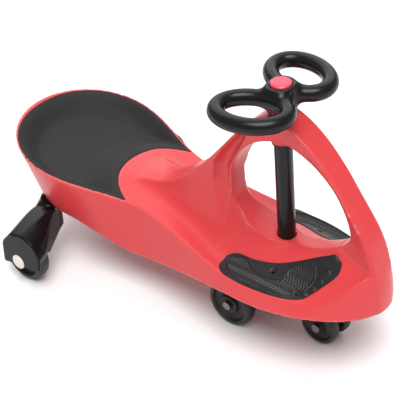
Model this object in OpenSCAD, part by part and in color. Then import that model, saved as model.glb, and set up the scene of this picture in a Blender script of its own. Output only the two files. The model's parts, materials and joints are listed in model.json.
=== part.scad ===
/* [Body] */
// overall length of the moulded body, tail to nose
body_len = 724; // [708:1:740]
// widest width of the seat rim
seat_w = 248; // [240:1:256]
// narrowest width of the rim between seat and foot deck
waist_w = 160; // [152:1:168]
// widest width of the foot deck at its rim
deck_w = 202; // [194:1:210]
// height of the seat rim at the tail
tail_z = 216; // [211:1:221]
// height of the seat rim at its two front tips
tip_z = 172; // [168:1:176]
// height of the foot deck rim
deck_z = 131; // [128:1:135]
// height of the lower edge of the side wall at the nose
edge_z = 103; // [101:1:105]
// wall thickness of the moulded shell
wall = 4; // [3.5:0.1:4.5]
// depth of the dish in the seat
dish_depth = 22; // [18:1:26]

/* [Arch] */
// height of the crown of the arch
arch_z = 395; // [389:1:399]
// width of the arch at its crown
arch_w = 45; // [43:1:48]
// width of the front leg half way down
leg_w = 40; // [37:1:43]
// height of the top of the window under the arch
window_z = 353; // [349:1:356]
// length of the window along the car
window_len = 222; // [214:1:228]

/* [Steering] */
// distance of the steering axis behind the nose
column_back = 183; // [180:1:186]
// outside diameter of the steering column
column_d = 28; // [26:0.5:29]
// height of the plane of the two grip loops
grip_z = 421; // [418:1:424]
// radius of the centre line of one grip loop
loop_r = 40; // [38:0.5:42]
// diameter of the grip tube
grip_d = 26; // [24:0.5:27]
// distance of the loop centres behind the steering axis
grip_back = 12; // [9:1:14]
// distance of the loop centres to either side of the steering axis
grip_y = 62; // [60:1:64]
// height of the top of the hub cap
cap_z = 445; // [443:1:449]

/* [Front truck] */
// diameter of the two main wheels
main_d = 82; // [80:1:83]
// tread width of the main wheels
main_w = 24; // [22:0.5:26]
// distance of the main axle behind the steering axis
main_back = 69; // [66:1:72]
// diameter of the two guide wheels
guide_d = 65; // [63:1:67]
// tread width of the guide wheels
guide_w = 18; // [16:0.5:19]
// distance of the guide axle ahead of the steering axis
guide_ahead = 72; // [70:1:75]
// height of the guide wheels above the floor
guide_lift = 2; // [1:0.5:3]

/* [Rear wheels] */
// diameter of the rear wheels
rear_d = 84; // [82:1:86]
// tread width of the rear wheels
rear_w = 26; // [24:0.5:28]
// distance of the rear axle ahead of the tail
rear_ahead = 118; // [116:1:121]
// distance from the middle of the car to the outer cheek of a bracket
cheek_y = 190; // [186:1:194]
// radius of the fairing over a rear wheel
hood_r = 58; // [57:1:60]
// distance of the axis of a bracket post inside the seat rim
post_in = 36; // [33:1:39]
// diameter of a bracket post
post_d = 34; // [31:1:36]

/* [Pads] */
// thickness of the seat pad
pad_t = 5; // [4:0.5:6]
// width of the red lip left round the seat pad
pad_lip = 4; // [3:0.5:6]
// depth of a foot pad below the deck
foot_sink = 3; // [2.5:0.25:3.5]
// height of a foot pad above the deck
foot_rise = 2; // [1.5:0.25:3]

/* [Axles] */
// diameter of the axle rods
axle_d = 8; // [7:0.5:9]
// outside diameter of the wheel bearings
bearing_d = 22; // [20:0.5:23]

/* [Hidden] */
$fn = 64;

// overrun of every cut past the face it opens
over = 1;
// gap of a running shaft in its hole, on the radius
run_gap = 0.05;
// gap between faces that turn past each other
face_gap = 0.3;

// plan of the rim, all lengths along the car measured from its middle
tail_x = -body_len / 2;
nose_x = body_len / 2;
seat_mid_share = 0.18;
seat_x = tail_x + body_len * seat_mid_share;
waist_share = 0.445;
deck_share = 0.728;
rim_nose_share = 0.9945;
tip_share = 0.395;
waist_x = tail_x + body_len * waist_share;
deck_x = tail_x + body_len * deck_share;
rim_nose_x = tail_x + body_len * rim_nose_share;
tip_x = tail_x + body_len * tip_share;
seat_h = seat_w / 2;
waist_h = waist_w / 2;
deck_h = deck_w / 2;
// power of the curve round the nose rim and past-end share that keeps the end stations open
nose_power = 1.85;
end_share = 1.006;

// plan and height of the lower edge
base_seat_share = 0.205;
base_seat_x = tail_x + body_len * base_seat_share;
base_tail_share = 0.034;
base_tail_x = tail_x + body_len * base_tail_share;
base_nose_x = nose_x;
base_seat_w_share = 0.83;
base_seat_h = seat_h * base_seat_w_share;
base_waist_w_share = 1.08;
base_waist_h = waist_h * base_waist_w_share;
base_deck_w_share = 1.07;
base_deck_h = deck_h * base_deck_w_share;
base_power = 1.85;
belly_share = 0.3;
belly_drop = edge_z * belly_share;
belly_x_share = 0.4;
belly_x = tail_x + body_len * belly_x_share;
nose_lift_share = 0.07;
nose_lift = edge_z * nose_lift_share;
tail_lift_share = 0.15;
tail_lift = edge_z * tail_lift_share;

// saddle and arch
axis_x = nose_x - column_back;
tongue_share = 0.302;
tongue_x = tail_x + body_len * tongue_share;
tongue_run = tip_x - tongue_x;
crest_power = 1.55;
// the front leg falls in a flat curve that turns down at the shin, from this share of its reach on
arch_power = 1.56;
shin_power = 2.1;
shin_share = 0.66;
chin_share = 0.3;
chin_z = deck_z + (tip_z - deck_z) * chin_share;
window_shift_share = 0.08;
window_x = axis_x + window_len * window_shift_share;
window_up_share = 0.563;
window_mid_z = window_z - window_len * window_up_share;
window_low_share = 0.9;
window_low_z = deck_z + (tip_z - deck_z) * window_low_share;
window_powers = [2, 1.7, 2.2, 1.5];
hill_share = 0.27;
hill_z = tip_z + (arch_z - tip_z) * hill_share;
arch_h = arch_w / 2;
leg_h = leg_w / 2;

function lerp(a, b, t) = a + (b - a) * t;
function clamp(t) = max(0, min(1, t));
function soft(t) = let (c = clamp(t)) c * c * (3 - 2 * c);
function wave(t) = (1 - cos(180 * clamp(t))) / 2;
function round_end(t, p) = pow(max(0, 1 - pow(min(1, abs(t)), p)), 1 / p);

// half width of the rim at x
function rim_w(x) =
    x < seat_x ? seat_h * round_end((x - seat_x) / ((tail_x - seat_x) * end_share), 2)
    : x < waist_x ? lerp(seat_h, waist_h, wave((x - seat_x) / (waist_x - seat_x)))
    : x < deck_x ? lerp(waist_h, deck_h, wave((x - waist_x) / (deck_x - waist_x)))
    : deck_h * round_end((x - deck_x) / ((rim_nose_x - deck_x) * end_share), nose_power);

// height of the rim at x, a straight seat line that falls to the level deck
seat_slope = (tail_z - tip_z) / (tip_x - tail_x);
// round the nose the rim climbs again to the foot of the front leg
prow_share = 0.866;
prow_x = tail_x + body_len * prow_share;
prow_rise_share = 1.466;
prow_rise = (tip_z - deck_z) * prow_rise_share;
prow_power = 1.6;
function rim_z(x) =
    x < tip_x ? tip_z + seat_slope * (tip_x - x)
    : x > deck_x ? deck_z + prow_rise * pow(clamp((x - prow_x) / (rim_nose_x - prow_x)), prow_power)
    : let (t = (x - tip_x) / (deck_x - tip_x), u = 1 - t)
        tip_z * u * u * (1 + 2 * t) - seat_slope * (deck_x - tip_x) * t * u * u
        + deck_z * t * t * (3 - 2 * t);

// half width and height of the lower edge at x
function base_w(x) =
    x < base_seat_x
    ? base_seat_h * round_end((x - base_seat_x) / ((base_tail_x - base_seat_x) * end_share), 2)
    : x < waist_x ? lerp(base_seat_h, base_waist_h, wave((x - base_seat_x) / (waist_x - base_seat_x)))
    : x < deck_x ? lerp(base_waist_h, base_deck_h, wave((x - waist_x) / (deck_x - waist_x)))
    : base_deck_h * round_end((x - deck_x) / ((base_nose_x - deck_x) * end_share), base_power);
function base_z(x) = edge_z
    - belly_drop * wave((x - base_seat_x) / (belly_x - base_seat_x)) * wave((deck_x - x) / (deck_x - belly_x))
    + nose_lift * wave((x - deck_x) / (nose_x - deck_x))
    + tail_lift * wave((base_seat_x - x) / (base_seat_x - base_tail_x));

// crest of the saddle and rear leg, seen from the side
tongue_z = tip_z + seat_slope * (tip_x - tongue_x);
function crest_z(x) = tongue_z + (arch_z - tongue_z)
    * soft(pow(clamp((x - tongue_x) / (axis_x - tongue_x)), crest_power));

// lower edge of the window, seen from the side
function window_floor(x) = let (t = (x - window_x) / (window_len / 2))
    window_mid_z - (window_mid_z - window_low_z) * round_end(t, t < 0 ? window_powers[2] : window_powers[3]);

// ridge along the middle of the top skin
fall_share = 0.4;
fall_x = window_x + window_len * fall_share;
function ridge_z(x) =
    x < tongue_x ? rim_z(x)
    : x < fall_x ? min(crest_z(x), min(hill_z, window_floor(max(x, window_x - window_len / 2))))
    : lerp(window_floor(fall_x), rim_z(rim_nose_x), soft((x - fall_x) / (rim_nose_x - fall_x)));

// sharpness of the hump across the car
function hump(x) = lerp(lerp(1, saddle_sharp, soft((x - tongue_x) / (waist_x - tongue_x))), 1,
    soft((x - waist_x) / (axis_x - waist_x)));
saddle_sharp = 4;

// dish of the seat, nothing at the lip and at the tongue
dish_run_share = 0.36;
dish_run = seat_h * dish_run_share;
function tongue_edge(v) = tongue_x + tongue_run * v * v;
function dish(x, y) = let (w = max(over, rim_w(x)), v = min(1, abs(y) / w),
        q = x < seat_x ? norm([(x - seat_x) / (seat_x - tail_x), y / seat_h]) : v,
        d = min((1 - q) * min(w, seat_h), tongue_edge(v) - x))
    dish_depth * soft(d / dish_run);

// top skin of the body
function top_z(x, y) = rim_z(x) - dish(x, y)
    + (ridge_z(x) - rim_z(x)) * pow(cos(90 * min(1, abs(y) / max(over, rim_w(x)))), 2 * hump(x));

// extra thickness of the seat under the pad
pad_under = 3;
// stations of the skin, close together at both ends
stations = 40;
across = 18;
flare = 2;
function along(i, a, b) = lerp(a, b, wave(i / stations));
// one point of a skin set in by t: wall rows, then the rows across the top, then the far wall
function skin_point(i, k, t) = let (
        xr = along(i, tail_x + t, rim_nose_x - t), xb = along(i, base_tail_x + t, base_nose_x - t),
        wr = max(wall, rim_w(along(i, tail_x, rim_nose_x)) - t),
        wb = max(wall, base_w(along(i, base_tail_x, base_nose_x)) - t),
        zr = rim_z(xr), zb = base_z(along(i, base_tail_x, base_nose_x)),
        side = k < flare || k > flare + across, far = k > flare + across / 2 ? 1 : -1,
        m = (far < 0 ? k : 2 * flare + across - k) / flare, v = (k - flare) / (across / 2) - 1,
        deep = t > 0 ? t + (pad_t + pad_under) * soft((tip_x + dish_run - xr) / dish_run)
            + foot_sink * soft((xr - waist_x) / (axis_x - waist_x) * 2) : 0)
    side ? [lerp(xb, xr, m), far * lerp(wb, wr, m), lerp(zb, zr - deep, m)]
    : [xr, v * wr, top_z(xr, v * wr) - deep];

module shell_skin() {
    n = 2 * flare + across + 1;
    ring = stations + 1;
    size = n * ring;
    points = [for (t = [0, wall], i = [0 : stations], k = [0 : n - 1]) skin_point(i, k, t)];
    polyhedron(points, concat(
        [for (i = [0 : stations - 1], k = [0 : n - 2], h = [0, 1])
            let (a = i * n + k, b = a + n) h == 0 ? [a, a + 1, b + 1] : [a, b + 1, b]],
        [for (i = [0 : stations - 1], k = [0 : n - 2], h = [0, 1])
            let (a = size + i * n + k, b = a + n) h == 0 ? [a, b + 1, a + 1] : [a, b, b + 1]],
        [for (i = [0 : stations - 1], h = [0, 1])
            let (a = i * n, b = a + n, c = a + size, d = b + size) h == 0 ? [a, b, d] : [a, d, c]],
        [for (i = [0 : stations - 1], h = [0, 1])
            let (a = i * n + n - 1, b = a + n, c = a + size, d = b + size) h == 0 ? [a, d, b] : [a, c, d]],
        [for (k = [0 : flare + across / 2 - 1])
            let (a = k, b = n - 1 - k) a + 1 == b - 1 ? [a, b, a + 1] : [a, b, b - 1, a + 1]],
        [for (k = [0 : flare + across / 2 - 1])
            let (a = size + k, b = size + n - 1 - k) a + 1 == b - 1 ? [a, a + 1, b] : [a, a + 1, b - 1, b]],
        [[0, size, size + n - 1, n - 1]],
        [for (k = [0 : flare + across / 2 - 1])
            let (e = stations * n, a = e + k, b = e + n - 1 - k)
                a + 1 == b - 1 ? [a, a + 1, b] : [a, a + 1, b - 1, b]],
        [for (k = [0 : flare + across / 2 - 1])
            let (e = size + stations * n, a = e + k, b = e + n - 1 - k)
                a + 1 == b - 1 ? [a, b, a + 1] : [a, b, b - 1, a + 1]],
        [let (e = stations * n) [e, e + n - 1, size + e + n - 1, size + e]]));
}

// arch band: outer and inner curve seen from the side, s runs from the saddle to the nose
arch_steps = 36;
arch_sides = 16;
foot_share = 0.2;
foot_x = waist_x + (axis_x - waist_x) * foot_share;
// way along the arch at its crown, half way down the front leg and at the chin
crown_share = 0.5;
leg_share = 0.75;
chin_way_share = 0.94;
// angles round the window where the rear leg starts and the front leg ends
window_start = 216;
window_end = -38;
function arch_outer(s) = s < crown_share
    ? let (x = lerp(foot_x, axis_x, s / crown_share)) [x, crest_z(x)]
    : s < chin_way_share
    ? let (a = 90 * (s - crown_share) / (chin_way_share - crown_share), u = pow(sin(a), 2 / arch_power),
        p = lerp(arch_power, shin_power, pow(clamp((u - shin_share) / (1 - shin_share)), 2)))
        [axis_x + column_back * u, chin_z + (arch_z - chin_z) * round_end(u, p)]
    : [nose_x, lerp(chin_z, edge_z + wall, (s - chin_way_share) / (1 - chin_way_share))];
function window_point(a) = let (c = cos(a), d = sin(a),
        p = window_powers[d >= 0 ? (c < 0 ? 0 : 1) : (c < 0 ? 2 : 3)])
    [window_x + (c < 0 ? -1 : 1) * window_len / 2 * pow(abs(c), 2 / p),
     window_mid_z + (d < 0 ? -(window_mid_z - window_low_z) : window_z - window_mid_z) * pow(abs(d), 2 / p)];
function arch_inner(s) = s < chin_way_share
    ? window_point(lerp(window_start, window_end, s / chin_way_share))
    : let (e = window_point(window_end))
        [e[0] + wall, lerp(e[1], edge_z + wall, (s - chin_way_share) / (1 - chin_way_share))];
foot_w_share = 1.17;
chin_w_share = 0.7;
function arch_half(s) = s < crown_share ? lerp(arch_h * foot_w_share, arch_h, soft(s / crown_share))
    : s < leg_share ? lerp(arch_h, leg_h, soft((s - crown_share) / (leg_share - crown_share)))
    : lerp(leg_h, arch_h * chin_w_share, soft((s - leg_share) / (1 - leg_share)));
// section of the arch: crown and rear leg have a flat outer face with firm corners and a softer inner side
outer_power = 7;
inner_power = 4;
taper_share = 0.08;
function bulge(c, p) = (c < 0 ? -1 : 1) * pow(abs(c), 2 / p);
// the front leg has a narrow face, sides that lean out to a crease, then in again to the window
leg_depth_shares = [0.33, 0.62, 0.93, 1, 1, 0.93, 0.62, 0.33,
    0.1, -0.3, -0.75, -1, -1, -0.75, -0.3, 0.1];
leg_width_shares = [1, 0.82, 0.62, 0.45, -0.45, -0.62, -0.82, -1,
    -0.97, -0.86, -0.7, -0.5, 0.5, 0.7, 0.86, 0.97];
function arch_section(k, s) = let (a = 180 * (2 * k + 1) / arch_sides,
        p = a < 180 ? outer_power : inner_power, u = bulge(sin(a), p),
        v = bulge(cos(a), p) * (1 - taper_share * u), t = soft((s - crown_share) / (leg_share - crown_share)))
    [lerp(u, leg_depth_shares[k], t), lerp(v, leg_width_shares[k], t)];
module arch_band() {
    points = [for (i = [0 : arch_steps]) let (s = i / arch_steps, o = arch_outer(s), n = arch_inner(s),
            c = (o + n) / 2, d = (o - n) / 2, w = arch_half(s))
        for (k = [0 : arch_sides - 1]) let (q = arch_section(k, s))
        [c[0] + d[0] * q[0], w * q[1], c[1] + d[1] * q[0]]];
    polyhedron(points, concat(
        [for (i = [0 : arch_steps - 1], k = [0 : arch_sides - 1], h = [0, 1])
            let (a = i * arch_sides + k, b = i * arch_sides + (k + 1) % arch_sides,
                c = a + arch_sides, d = b + arch_sides) h == 0 ? [a, c, d] : [a, d, b]],
        [[for (k = [0 : arch_sides - 1]) k]],
        [[for (k = [arch_sides - 1 : -1 : 0]) arch_steps * arch_sides + k]]));
}

// bosses, bushes and column along the steering axis
boss_wall = 6;
bush_t = 3;
column_r = column_d / 2;
bush_r = column_r + bush_t;
boss_r = bush_r + boss_wall;
flange_t = 3;
flange_r = boss_r;
lower_boss_z = edge_z + wall;
collar_drop = 12;
collar_z = window_z - collar_drop;
arch_flat_z = arch_z - flange_t;

// seat pad grid
// the front edge slants at its tips, where its gap opens more along the car
tongue_slant = 3;
pad_rows = 14;
pad_cols = 12;
function pad_w(x, inset) = x < seat_x
    ? (seat_h - inset) * round_end((x - seat_x) / ((tail_x + inset - seat_x) * end_share), 2)
    : rim_w(x) - inset;
function pad_point(i, j, grow, lift) = let (
        v = 2 * j / pad_cols - 1, inset = pad_lip - grow,
        front = tongue_edge(v) + grow * (1 + tongue_slant * v * v),
        x = lerp(tail_x + inset, front, 1 - cos(90 * i / pad_rows)), y = v * pad_w(x, inset))
    [x, y, top_z(x, y) + lift];
module sheet(points, rows, cols) {
    n = cols + 1;
    size = n * (rows + 1);
    polyhedron(points, concat(
        [for (i = [0 : rows - 1], j = [0 : cols - 1], h = [0, 1])
            let (a = i * n + j, b = a + n) h == 0 ? [a, a + 1, b + 1] : [a, b + 1, b]],
        [for (i = [0 : rows - 1], j = [0 : cols - 1], h = [0, 1])
            let (a = size + i * n + j, b = a + n) h == 0 ? [a, b + 1, a + 1] : [a, b, b + 1]],
        [for (i = [0 : rows - 1], h = [0, 1])
            let (a = i * n, b = a + n, c = a + size, d = b + size) h == 0 ? [a, b, d] : [a, d, c]],
        [for (i = [0 : rows - 1], h = [0, 1])
            let (a = i * n + cols, b = a + n, c = a + size, d = b + size) h == 0 ? [a, d, b] : [a, c, d]],
        [for (j = [0 : cols - 1], h = [0, 1])
            let (a = j, b = j + 1, c = a + size, d = b + size) h == 0 ? [a, c, d] : [a, d, b]],
        [for (j = [0 : cols - 1], h = [0, 1])
            let (a = rows * n + j, b = a + 1, c = a + size, d = b + size) h == 0 ? [a, d, c] : [a, b, d]]));
}
module pad_block(grow, up, down) {
    sheet([for (l = [up, -down], i = [0 : pad_rows], j = [0 : pad_cols]) pad_point(i, j, grow, l)],
        pad_rows, pad_cols);
}

// studs that hold the seat pad, with a push clip under each
stud_d = 8;
stud_boss_d = 20;
clip_t = 2.5;
stud_front_share = 0.26;
stud_rear_share = 0.1;
stud_front_y_share = 0.5;
stud_rear_y_share = 0.38;
stud_front_y = seat_h * stud_front_y_share;
stud_rear_y = seat_h * stud_rear_y_share;
studs = [for (s = [-1, 1]) each [[tail_x + body_len * stud_rear_share, s * stud_rear_y],
    [tail_x + body_len * stud_front_share, s * stud_front_y]]];
function stud_floor(p) = top_z(p[0], p[1]) - pad_t - pad_under - wall - boss_wall;

// foot pads: rows run from heel to toe, columns from the inner to the outer edge
foot_rows = 14;
foot_cols = 6;
heel_share = 0.098;
heel_x = axis_x - body_len * heel_share;
toe_in_share = 0.17;
toe_in_x = axis_x + body_len * toe_in_share;
toe_out_share = 0.1146;
toe_out_x = axis_x + body_len * toe_out_share;
foot_in_share = 0.574;
foot_in_y = deck_h * foot_in_share;
toe_y_share = 0.168;
toe_in_y = deck_h * toe_y_share;
foot_margin = 4;
// rounding of the pad's ends, shares of the width left there and of the length where the inner edge turns in
foot_power = 3.4;
foot_end_shares = [0.36, 0.8];
toe_turn_shares = [0.2, 0.95];
foot_mid_share = 0.5;
function foot_point(i, j, side, grow, lift) = let (
        s = i / foot_rows, t = j / foot_cols, r = round_end(2 * s - 1, foot_power),
        q = lerp(foot_mid_share, t, lerp(foot_end_shares[s < foot_mid_share ? 0 : 1], 1, r)),
        x = lerp(heel_x - grow, lerp(toe_in_x, toe_out_x, t) + grow, s),
        turn = wave((s - toe_turn_shares[0]) / (toe_turn_shares[1] - toe_turn_shares[0])),
        yi = lerp(foot_in_y, toe_in_y, turn) - grow,
        yo = rim_w(x) - foot_margin + grow, y = lerp(yi, yo, q))
    [x, side * y, top_z(x, y) + lift];
module foot_block(side, grow, up, down) {
    sheet([for (l = [up, -down], i = [0 : foot_rows], j = [0 : foot_cols])
        foot_point(i, side < 0 ? foot_cols - j : j, side, grow, l)], foot_rows, foot_cols);
}
screw_d = 4;
screw_head_d = 6.5;
screw_head_t = 1.6;
screw_len = 12;
screw_boss_d = 12;
screw_fore_share = 0.1;
screw_aft_share = 0.026;
screw_fore_y_share = 0.72;
screw_aft_y_share = 0.585;
screw_fore = axis_x + body_len * screw_fore_share;
screw_aft = axis_x + body_len * screw_aft_share;
screw_fore_y = deck_h * screw_fore_y_share;
screw_aft_y = deck_h * screw_aft_y_share;
screws = [[screw_fore, screw_fore_y], [screw_aft, screw_aft_y]];
screw_sink = 0.8;
function screw_seat(p) = top_z(p[0], p[1]) + foot_rise - screw_head_t - screw_sink;

// rear bracket places
rear_r = rear_d / 2;
rear_x = tail_x + rear_ahead;
axle_r = axle_d / 2;
bearing_r = bearing_d / 2;
cheek_t = 6;
side_gap = 2;
rear_out_y = cheek_y - cheek_t - side_gap;
rear_in_y = rear_out_y - rear_w;
inner_cheek_y = rear_in_y - side_gap;
post_r = post_d / 2;
post_y = seat_h - post_in;
post_back_share = 0.019;
post_x = rear_x - body_len * post_back_share;
post_top_z = edge_z + tail_lift;
spigot_share = 0.47;
spigot_r = post_r * spigot_share;
spigot_h = 34;
// the spigot stands nearer the middle than the post, so that its boss stays inside the side wall
pin_in = 6;
pin_y = post_y - pin_in;
post_boss_r = spigot_r + wall;
function post_roof() = top_z(post_x + post_boss_r, pin_y - post_boss_r) - pad_t - pad_under - wall / 2;
bracket_screw_d = 5;
bracket_screw_head_d = 10;
bracket_screw_head_t = 3;
hood_ahead_share = 0.012;
hood_x = rear_x + body_len * hood_ahead_share;
hood_z = rear_r + axle_r;
hood_floor_share = 0.6;
hood_floor_z = rear_r * hood_floor_share;
hood_front_share = 1.5;
hood_front_z = rear_r * hood_front_share;
stay_h = 13;
stay_t = 6;
hood_wall = 4;
// the cheek is cut straight behind, level below and slanting at its lower front corner
cheek_back_share = 0.9;
cheek_lean = 45;
cheek_lean_share = 0.55;

// skin and arch with the pockets of the pads, drawn to the exact length of the body
module moulding() {
    resize([body_len, 0, 0]) {
        difference() {
            union() {
                shell_skin();
                arch_band();
            }
            pad_block(face_gap, boss_wall, pad_t + face_gap);
            for (s = [-1, 1]) {
                foot_block(s, face_gap, boss_wall, foot_sink + face_gap);
            }
        }
    }
}

module body_shell() {
    color([0.86, 0.24, 0.25]) {
        difference() {
            union() {
                moulding();
                translate([axis_x, 0, lower_boss_z]) {
                    cylinder(r = boss_r, h = window_low_z - lower_boss_z - wall);
                }
                translate([axis_x, 0, collar_z]) {
                    cylinder(r = bush_r + bush_t / 2, h = collar_drop * 2);
                }
                for (p = studs) {
                    translate([p[0], p[1], stud_floor(p)]) {
                        cylinder(d = stud_boss_d, h = boss_wall + pad_under + wall / 2);
                    }
                }
                for (s = [-1, 1]) {
                    translate([post_x, s * pin_y, post_top_z]) {
                        cylinder(r = post_boss_r, h = post_roof() - post_top_z);
                    }
                }
            }
            translate([axis_x, 0, lower_boss_z - over]) {
                cylinder(r = bush_r, h = arch_z - lower_boss_z);
            }
            translate([axis_x, 0, arch_flat_z]) {
                cylinder(r = arch_w, h = flange_t + over * 3);
            }
            for (p = studs) {
                translate([p[0], p[1], stud_floor(p) - over]) {
                    cylinder(d = stud_d, h = boss_wall * 4);
                }
            }
            for (s = [-1, 1]) {
                for (p = screws) {
                    translate([p[0], s * p[1], screw_seat(p) - screw_len - over]) {
                        cylinder(d = screw_d + face_gap, h = screw_len + boss_wall);
                    }
                }
                translate([post_x, s * pin_y, post_top_z - over]) {
                    cylinder(r = spigot_r + run_gap, h = spigot_h + over);
                }
                translate([post_x, s * post_y, edge_z - over]) {
                    cylinder(r = post_r + face_gap, h = post_top_z - edge_z + over);
                }
            }
        }
    }
}

module seat_pad() {
    color([0.2, 0.19, 0.19]) {
        union() {
            pad_block(0, 0, pad_t);
            for (p = studs) {
                translate([p[0], p[1], stud_floor(p) - clip_t * 2]) {
                    cylinder(d = stud_d, h = top_z(p[0], p[1]) - pad_t / 2 - stud_floor(p) + clip_t * 2);
                }
            }
        }
    }
}

module seat_pad_clips() {
    color([0.62, 0.63, 0.65]) {
        for (p = studs) {
            translate([p[0], p[1], stud_floor(p) - clip_t]) {
                difference() {
                    cylinder(d = stud_boss_d, h = clip_t);
                    translate([0, 0, -over]) {
                        cylinder(d = stud_d, h = clip_t + over * 2);
                    }
                }
            }
        }
    }
}

module foot_pad(side) {
    color([0.13, 0.12, 0.13]) {
        difference() {
            foot_block(side, 0, foot_rise, foot_sink);
            for (p = screws) {
                translate([p[0], side * p[1], screw_seat(p)]) {
                    cylinder(d = screw_head_d + face_gap, h = boss_wall * 2);
                }
                translate([p[0], side * p[1], screw_seat(p) - screw_len]) {
                    cylinder(d = screw_d + face_gap, h = screw_len + over);
                }
            }
        }
    }
}

module right_foot_pad() {
    foot_pad(-1);
}

module left_foot_pad() {
    foot_pad(1);
}

module foot_pad_screws() {
    color([0.3, 0.3, 0.31]) {
        for (s = [-1, 1], p = screws) {
            translate([p[0], s * p[1], screw_seat(p)]) {
                cylinder(d = screw_head_d, h = screw_head_t);
                translate([0, 0, -screw_len]) {
                    cylinder(d = screw_d, h = screw_len);
                }
            }
        }
    }
}

module bush(z, h, flange_low) {
    color([0.16, 0.16, 0.17]) {
        translate([axis_x, 0, z]) {
            difference() {
                union() {
                    cylinder(r = bush_r, h = h);
                    translate([0, 0, flange_low ? -flange_t : h]) {
                        cylinder(r = flange_low ? boss_r : arch_h - flange_t, h = flange_t);
                    }
                }
                translate([0, 0, -flange_t - over]) {
                    cylinder(r = column_r + run_gap, h = h + flange_t * 2 + over * 2);
                }
            }
        }
    }
}

module upper_bush() {
    bush(collar_z, arch_flat_z - collar_z, false);
}

module lower_bush() {
    bush(lower_boss_z, window_low_z - lower_boss_z - wall, true);
}

// steering parts
hub_low_z = arch_z + face_gap;
hub_r_share = 0.81;
hub_r = grip_d * hub_r_share;
hub_belly_share = 1.04;
cap_t = 4;
hub_top_z = cap_z - cap_t;
cap_r = 16;
// shares of the cap's radius at its shoulder and at its flat top
cap_shares = [0.9, 0.7];
socket_drop = 8;
socket_z = grip_z - socket_drop;
rod_r = 6;
rod_head_r = 11;
rod_head_t = 7;
// a loop is an arc round its centre closed by two arms that touch it and meet at the hub
grip_reach = norm([grip_back, grip_y]);
arm_turn = asin(loop_r / grip_reach);
arm_len = grip_reach * cos(arm_turn);
grip_turn = atan2(grip_back, grip_y);
// the arms start inside the hub, are a hair slimmer than the arc and run a little way into it
arm_start_share = 0.57;
arm_start = hub_r * arm_start_share;
arm_slim = 0.3;
arm_lap = 4;
grip_x = axis_x - grip_back;
truck_top_z = lower_boss_z - flange_t - face_gap;
column_sink = 26;
column_low_z = truck_top_z - column_sink;
truck_floor = 10;
truck_low_z = column_low_z - truck_floor;
module steering_wheel() {
    color([0.12, 0.12, 0.12]) {
        difference() {
            union() {
                for (s = [-1, 1]) {
                    translate([axis_x, 0, grip_z]) {
                        rotate([0, 0, s * (90 + grip_turn)]) {
                            translate([grip_reach, 0, 0]) {
                                rotate([0, 0, -90 - arm_turn]) {
                                    rotate_extrude(angle = 180 + 2 * arm_turn) {
                                        translate([loop_r, 0, 0]) {
                                            circle(d = grip_d);
                                        }
                                    }
                                }
                            }
                            for (t = [-1, 1]) {
                                rotate([0, 0, t * arm_turn]) {
                                    translate([arm_start, 0, 0]) {
                                        rotate([0, 90, 0]) {
                                            cylinder(r = grip_d / 2 - arm_slim,
                                                h = arm_len + arm_lap - arm_start);
                                        }
                                    }
                                }
                            }
                        }
                    }
                }
                translate([axis_x, 0, 0]) {
                    rotate_extrude() {
                        polygon([[0, hub_low_z], [hub_r - flange_t, hub_low_z], [hub_r, hub_low_z + flange_t],
                            [hub_r * hub_belly_share, grip_z], [hub_r, grip_z + grip_d / 2],
                            [cap_r + flange_t, hub_top_z],
                            [0, hub_top_z]]);
                    }
                }
            }
            translate([axis_x, 0, hub_low_z - over]) {
                cylinder(r = column_r, h = socket_z - hub_low_z + over);
            }
            translate([axis_x, 0, socket_z - over]) {
                cylinder(r = rod_r, h = hub_top_z - socket_z);
            }
            translate([axis_x, 0, hub_top_z - rod_head_t - cap_t]) {
                cylinder(r = cap_r, h = rod_head_t + cap_t + over);
            }
        }
    }
}

module wheel_cap() {
    color([0.93, 0.35, 0.42]) {
        translate([axis_x, 0, 0]) {
            rotate_extrude() {
                polygon([[0, hub_top_z - cap_t], [cap_r, hub_top_z - cap_t], [cap_r, hub_top_z + cap_t / 2],
                    [cap_r * cap_shares[0], cap_z - cap_t / 6], [cap_r * cap_shares[1], cap_z], [0, cap_z]]);
            }
        }
    }
}

module steering_column() {
    color([0.11, 0.11, 0.11]) {
        translate([axis_x, 0, column_low_z]) {
            difference() {
                cylinder(r = column_r, h = socket_z - column_low_z);
                translate([0, 0, -over]) {
                    cylinder(r = rod_r, h = socket_z - column_low_z + over * 2);
                }
            }
        }
    }
}

module tie_rod() {
    color([0.6, 0.61, 0.63]) {
        translate([axis_x, 0, truck_low_z - rod_head_t]) {
            cylinder(r = rod_r, h = hub_top_z - cap_t - truck_low_z);
        }
        translate([axis_x, 0, hub_top_z - rod_head_t - cap_t]) {
            cylinder(r = rod_head_r, h = rod_head_t, $fn = 6);
        }
    }
}

module tie_nut() {
    color([0.56, 0.57, 0.6]) {
        translate([axis_x, 0, truck_low_z - rod_head_t]) {
            difference() {
                cylinder(r = rod_head_r, h = rod_head_t, $fn = 6);
                translate([0, 0, -over]) {
                    cylinder(r = rod_r, h = rod_head_t + over * 2);
                }
            }
        }
    }
}

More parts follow.
